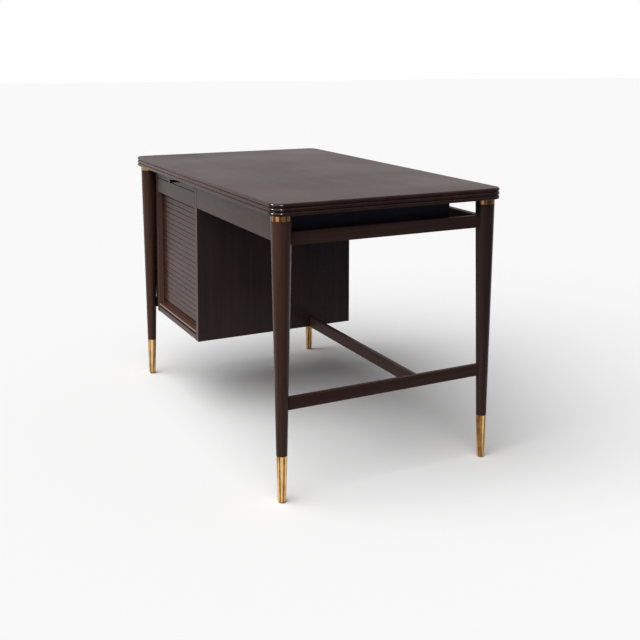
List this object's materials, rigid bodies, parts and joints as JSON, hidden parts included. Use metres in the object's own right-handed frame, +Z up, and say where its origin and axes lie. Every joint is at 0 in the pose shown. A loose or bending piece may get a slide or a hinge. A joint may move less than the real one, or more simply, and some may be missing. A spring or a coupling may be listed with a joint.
{
  "type": "tambour desk",
  "caption": "Writing desk on turned, tapered legs with brass ferrules, with a pedestal closed by a vertical tambour, a pull-out slide and a shallow kneehole drawer below its floating top.",
  "frame": {"origin": "on the floor, below the middle of the desktop", "axes": "+X along the desktop towards the open kneehole end, -Y towards the sitter at the front, +Z up"},
  "size_m": [1.2, 0.678, 0.762],
  "materials": {
    "wood_top": "satin lacquered dark walnut, grain along the top",
    "wood_body": "satin lacquered dark walnut",
    "wood_leg": "satin lacquered dark walnut, turned",
    "wood_slat": "satin lacquered dark walnut slats",
    "wood_inner": "plain oiled inner wood",
    "wood_drawer": "very dark stained wood of the drawer's box",
    "plywood": "stained veneered panel",
    "brass": "polished brass with light wear",
    "canvas": "plain woven canvas, glued"
  },
  "bodies": {
    "desk": {"back_rail": "wood_body", "base_rail_front": "wood_body", "base_rail_rear": "wood_inner", "case_back": "plywood", "case_bottom": "wood_body", "case_side_inner": "wood_body", "case_side_outer": "wood_body", "desktop": "wood_top", "drawer_guide": "wood_inner", "drawer_kicker_left": "wood_inner", "drawer_kicker_right": "wood_inner", "drawer_runner_left": "wood_inner", "drawer_runner_right": "wood_inner", "drawer_stop_batten": "wood_inner", "end_rail_left": "wood_body", "end_rail_right": "wood_body", "ferrule_front_left": "brass", "ferrule_front_right": "brass", "ferrule_rear_left": "brass", "ferrule_rear_right": "brass", "front_rail": "wood_body", "head_rail": "wood_body", "leg_front_left": "wood_leg", "leg_front_right": "wood_leg", "leg_rear_left": "wood_leg", "leg_rear_right": "wood_leg", "leg_ring_front_left": "brass", "leg_ring_front_right": "brass", "leg_ring_rear_left": "brass", "leg_ring_rear_right": "brass", "shelf": "wood_inner", "shelf_pins": "brass", "slide_bed": "wood_inner", "slide_kicker_left": "wood_inner", "slide_kicker_right": "wood_inner", "slide_stop_batten": "wood_inner", "spacer_front": "wood_body", "spacer_rear": "wood_body", "stretcher_left": "wood_body", "stretcher_long": "wood_body", "stretcher_right": "wood_body", "top_dowels": "wood_inner", "track_guard": "wood_inner"},
    "slide": {"slide_board": "wood_body", "slide_front": "wood_body", "slide_knob": "brass", "slide_stop_dowels": "wood_inner"},
    "drawer": {"apron_front": "wood_body", "drawer_side_left": "wood_drawer", "drawer_side_right": "wood_drawer", "drawer_back": "wood_drawer", "drawer_bottom": "plywood"},
    "tambour": {"tambour_lead_rail": "wood_slat", "tambour_slats": "wood_slat", "tambour_canvas": "canvas"}
  },
  "joints": [
    {"name": "slide_pull", "type": "slide", "parent": "desk", "child": "slide", "axis": [0, -1, 0], "range_m": [0, 0.3]},
    {"name": "drawer_pull", "type": "slide", "parent": "desk", "child": "drawer", "axis": [0, -1, 0], "range_m": [0, 0.33]},
    {"name": "tambour_lift", "type": "slide", "parent": "desk", "child": "tambour", "axis": [0, 0, 1], "range_m": [0, 0.354], "deforming": ["tambour_slats", "tambour_canvas"]}
  ]
}
